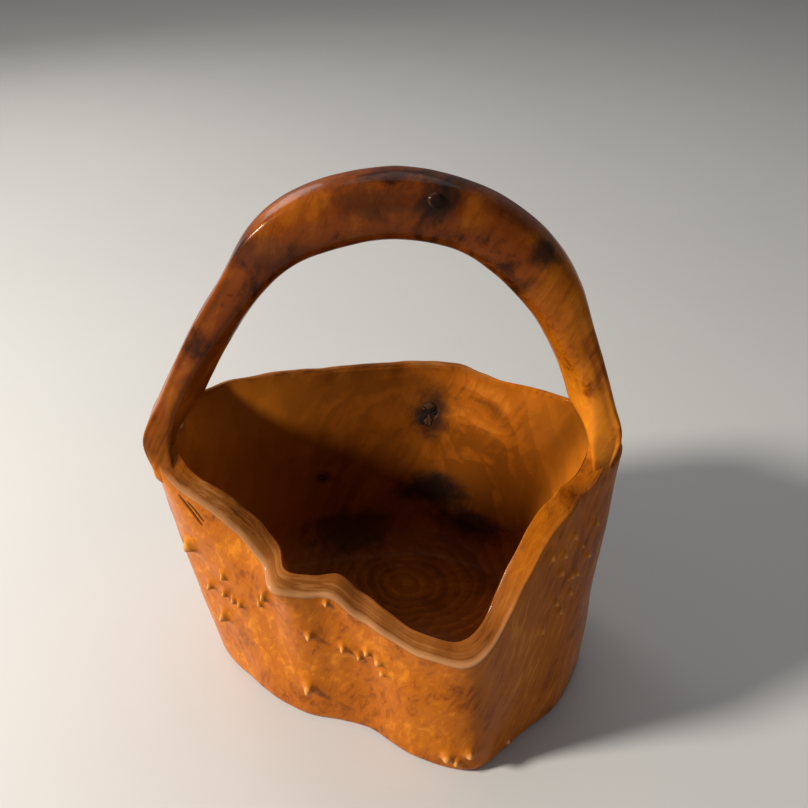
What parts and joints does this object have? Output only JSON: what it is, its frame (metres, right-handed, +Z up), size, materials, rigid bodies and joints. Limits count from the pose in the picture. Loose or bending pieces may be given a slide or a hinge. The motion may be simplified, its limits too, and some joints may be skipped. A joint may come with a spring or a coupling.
{
  "type": "carved wooden basket",
  "caption": "Free-form hollow basket carved from burl wood, with a wavy rim, low front corner and a thick fixed arched carrying handle.",
  "frame": {"origin": "on the surface the basket stands on, under the middle of its box", "axes": "+Z up along the basket's height; +X right, from one leg of the handle to the other; +Y to the back, away from the low front corner"},
  "size_m": [0.2735, 0.2108, 0.3353],
  "materials": {
    "burl_wood": "orange-brown burl under glossy varnish, darker inside, greyish brown on the cut rim",
    "handle_wood": "reddish brown wood with dark mottling under glossy varnish",
    "dark_knot": "nearly black dead knot wood, varnished over"
  },
  "bodies": {
    "root": {"bowl": "burl_wood", "handle": "handle_wood", "wall_knot": "dark_knot", "handle_knot": "dark_knot", "pin_knot": "dark_knot"}
  },
  "joints": []
}
